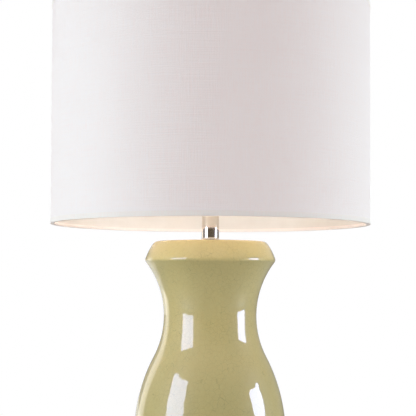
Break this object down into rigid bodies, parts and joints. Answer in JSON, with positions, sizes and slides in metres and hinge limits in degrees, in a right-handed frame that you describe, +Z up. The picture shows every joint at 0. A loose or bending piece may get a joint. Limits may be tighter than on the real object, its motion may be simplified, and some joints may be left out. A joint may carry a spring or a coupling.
{
  "type": "table lamp",
  "caption": "Table lamp with a glazed baluster jar body, polished metal neck and a wide white drum shade carried by a wire harp and finial.",
  "frame": {"origin": "centre of the felt pad's underside, on the table", "axes": "+Z up along the rod, -Y towards the front, +Y towards the cord outlet at the back, +X to the right seen from the front"},
  "size_m": [0.4072, 0.4072, 0.7466],
  "materials": {
    "jar_glaze": "glossy pale olive glaze with a faint fine crackle",
    "foot_felt": "pressed felt",
    "grommet_rubber": "matt moulded rubber",
    "neck_chrome": "polished plate",
    "zinc_steel": "zinc plated, dull",
    "gasket_rubber": "soft sheet",
    "nickel_wire": "nickel plated wire and strip",
    "socket_nickel": "nickel plated spun shell",
    "socket_card": "pressed insulating card",
    "switch_plastic": "moulded, slightly polished",
    "insulator_plastic": "moulded, dull",
    "contact_brass": "stamped",
    "bulb_glass": "frosted white inside",
    "bulb_aluminium": "rolled screw shell",
    "bulb_black_glass": "black vitreous insulator",
    "shade_linen": "fine off-white linen laid on a stiff backing",
    "shade_backing": "smooth white sheet",
    "shade_tape": "folded self tape",
    "frame_wire": "white enamelled wire"
  },
  "bodies": {
    "stand": {"felt_pad": "foot_felt", "ceramic_body": "jar_glaze", "cord_grommet": "grommet_rubber", "floor_washer": "zinc_steel", "lock_washer": "zinc_steel", "bottom_nut": "zinc_steel", "lamp_rod": "zinc_steel", "top_gasket": "gasket_rubber", "seat_ring": "neck_chrome", "neck_tube": "neck_chrome", "neck_cap": "neck_chrome", "harp_saddle": "nickel_wire", "saddle_nut": "zinc_steel", "socket_cap": "socket_nickel", "socket_shell": "socket_nickel", "socket_liner": "socket_card", "socket_insulator": "insulator_plastic", "socket_screw_shell": "contact_brass", "socket_contact": "contact_brass"},
    "switch": {"switch_shaft": "contact_brass", "switch_knob": "switch_plastic"},
    "bulb": {"bulb_tip": "contact_brass", "bulb_insulator": "bulb_black_glass", "bulb_screw_base": "bulb_aluminium", "bulb_globe": "bulb_glass"},
    "harp": {"harp_loop": "nickel_wire", "harp_stud": "nickel_wire"},
    "sleeve_left": {"harp_sleeve_left": "nickel_wire"},
    "sleeve_right": {"harp_sleeve_right": "nickel_wire"},
    "shade": {"shade_fabric": "shade_linen", "shade_liner": "shade_backing", "shade_top_hem": "shade_tape", "shade_bottom_hem": "shade_tape", "shade_top_ring": "frame_wire", "shade_bottom_ring": "frame_wire", "spider_hub": "frame_wire", "spider_arm_1": "frame_wire", "spider_arm_2": "frame_wire", "spider_arm_3": "frame_wire"},
    "finial": {"finial": "neck_chrome"}
  },
  "joints": [
    {"name": "switch_turn", "type": "hinge", "parent": "stand", "child": "switch", "pos_m": [0, -0.0186, 0.5107], "axis": [0, -1, 0], "continuous": true},
    {"name": "bulb_turn", "type": "hinge", "parent": "stand", "child": "bulb", "pos_m": [0, 0, 0.545], "axis": [0, 0, 1], "continuous": true},
    {"name": "harp_lift", "type": "slide", "parent": "stand", "child": "harp", "axis": [0, 0, 1], "range_m": [0, 0.05]},
    {"name": "sleeve_left_slide", "type": "slide", "parent": "harp", "child": "sleeve_left", "axis": [0, 0, 1], "range_m": [0, 0.012]},
    {"name": "sleeve_right_slide", "type": "slide", "parent": "harp", "child": "sleeve_right", "axis": [0, 0, 1], "range_m": [0, 0.012]},
    {"name": "shade_turn", "type": "hinge", "parent": "harp", "child": "shade", "pos_m": [0, 0, 0.7177], "axis": [0, 0, 1], "continuous": true},
    {"name": "finial_turn", "type": "hinge", "parent": "harp", "child": "finial", "pos_m": [0, 0, 0.7192], "axis": [0, 0, 1], "continuous": true}
  ]
}
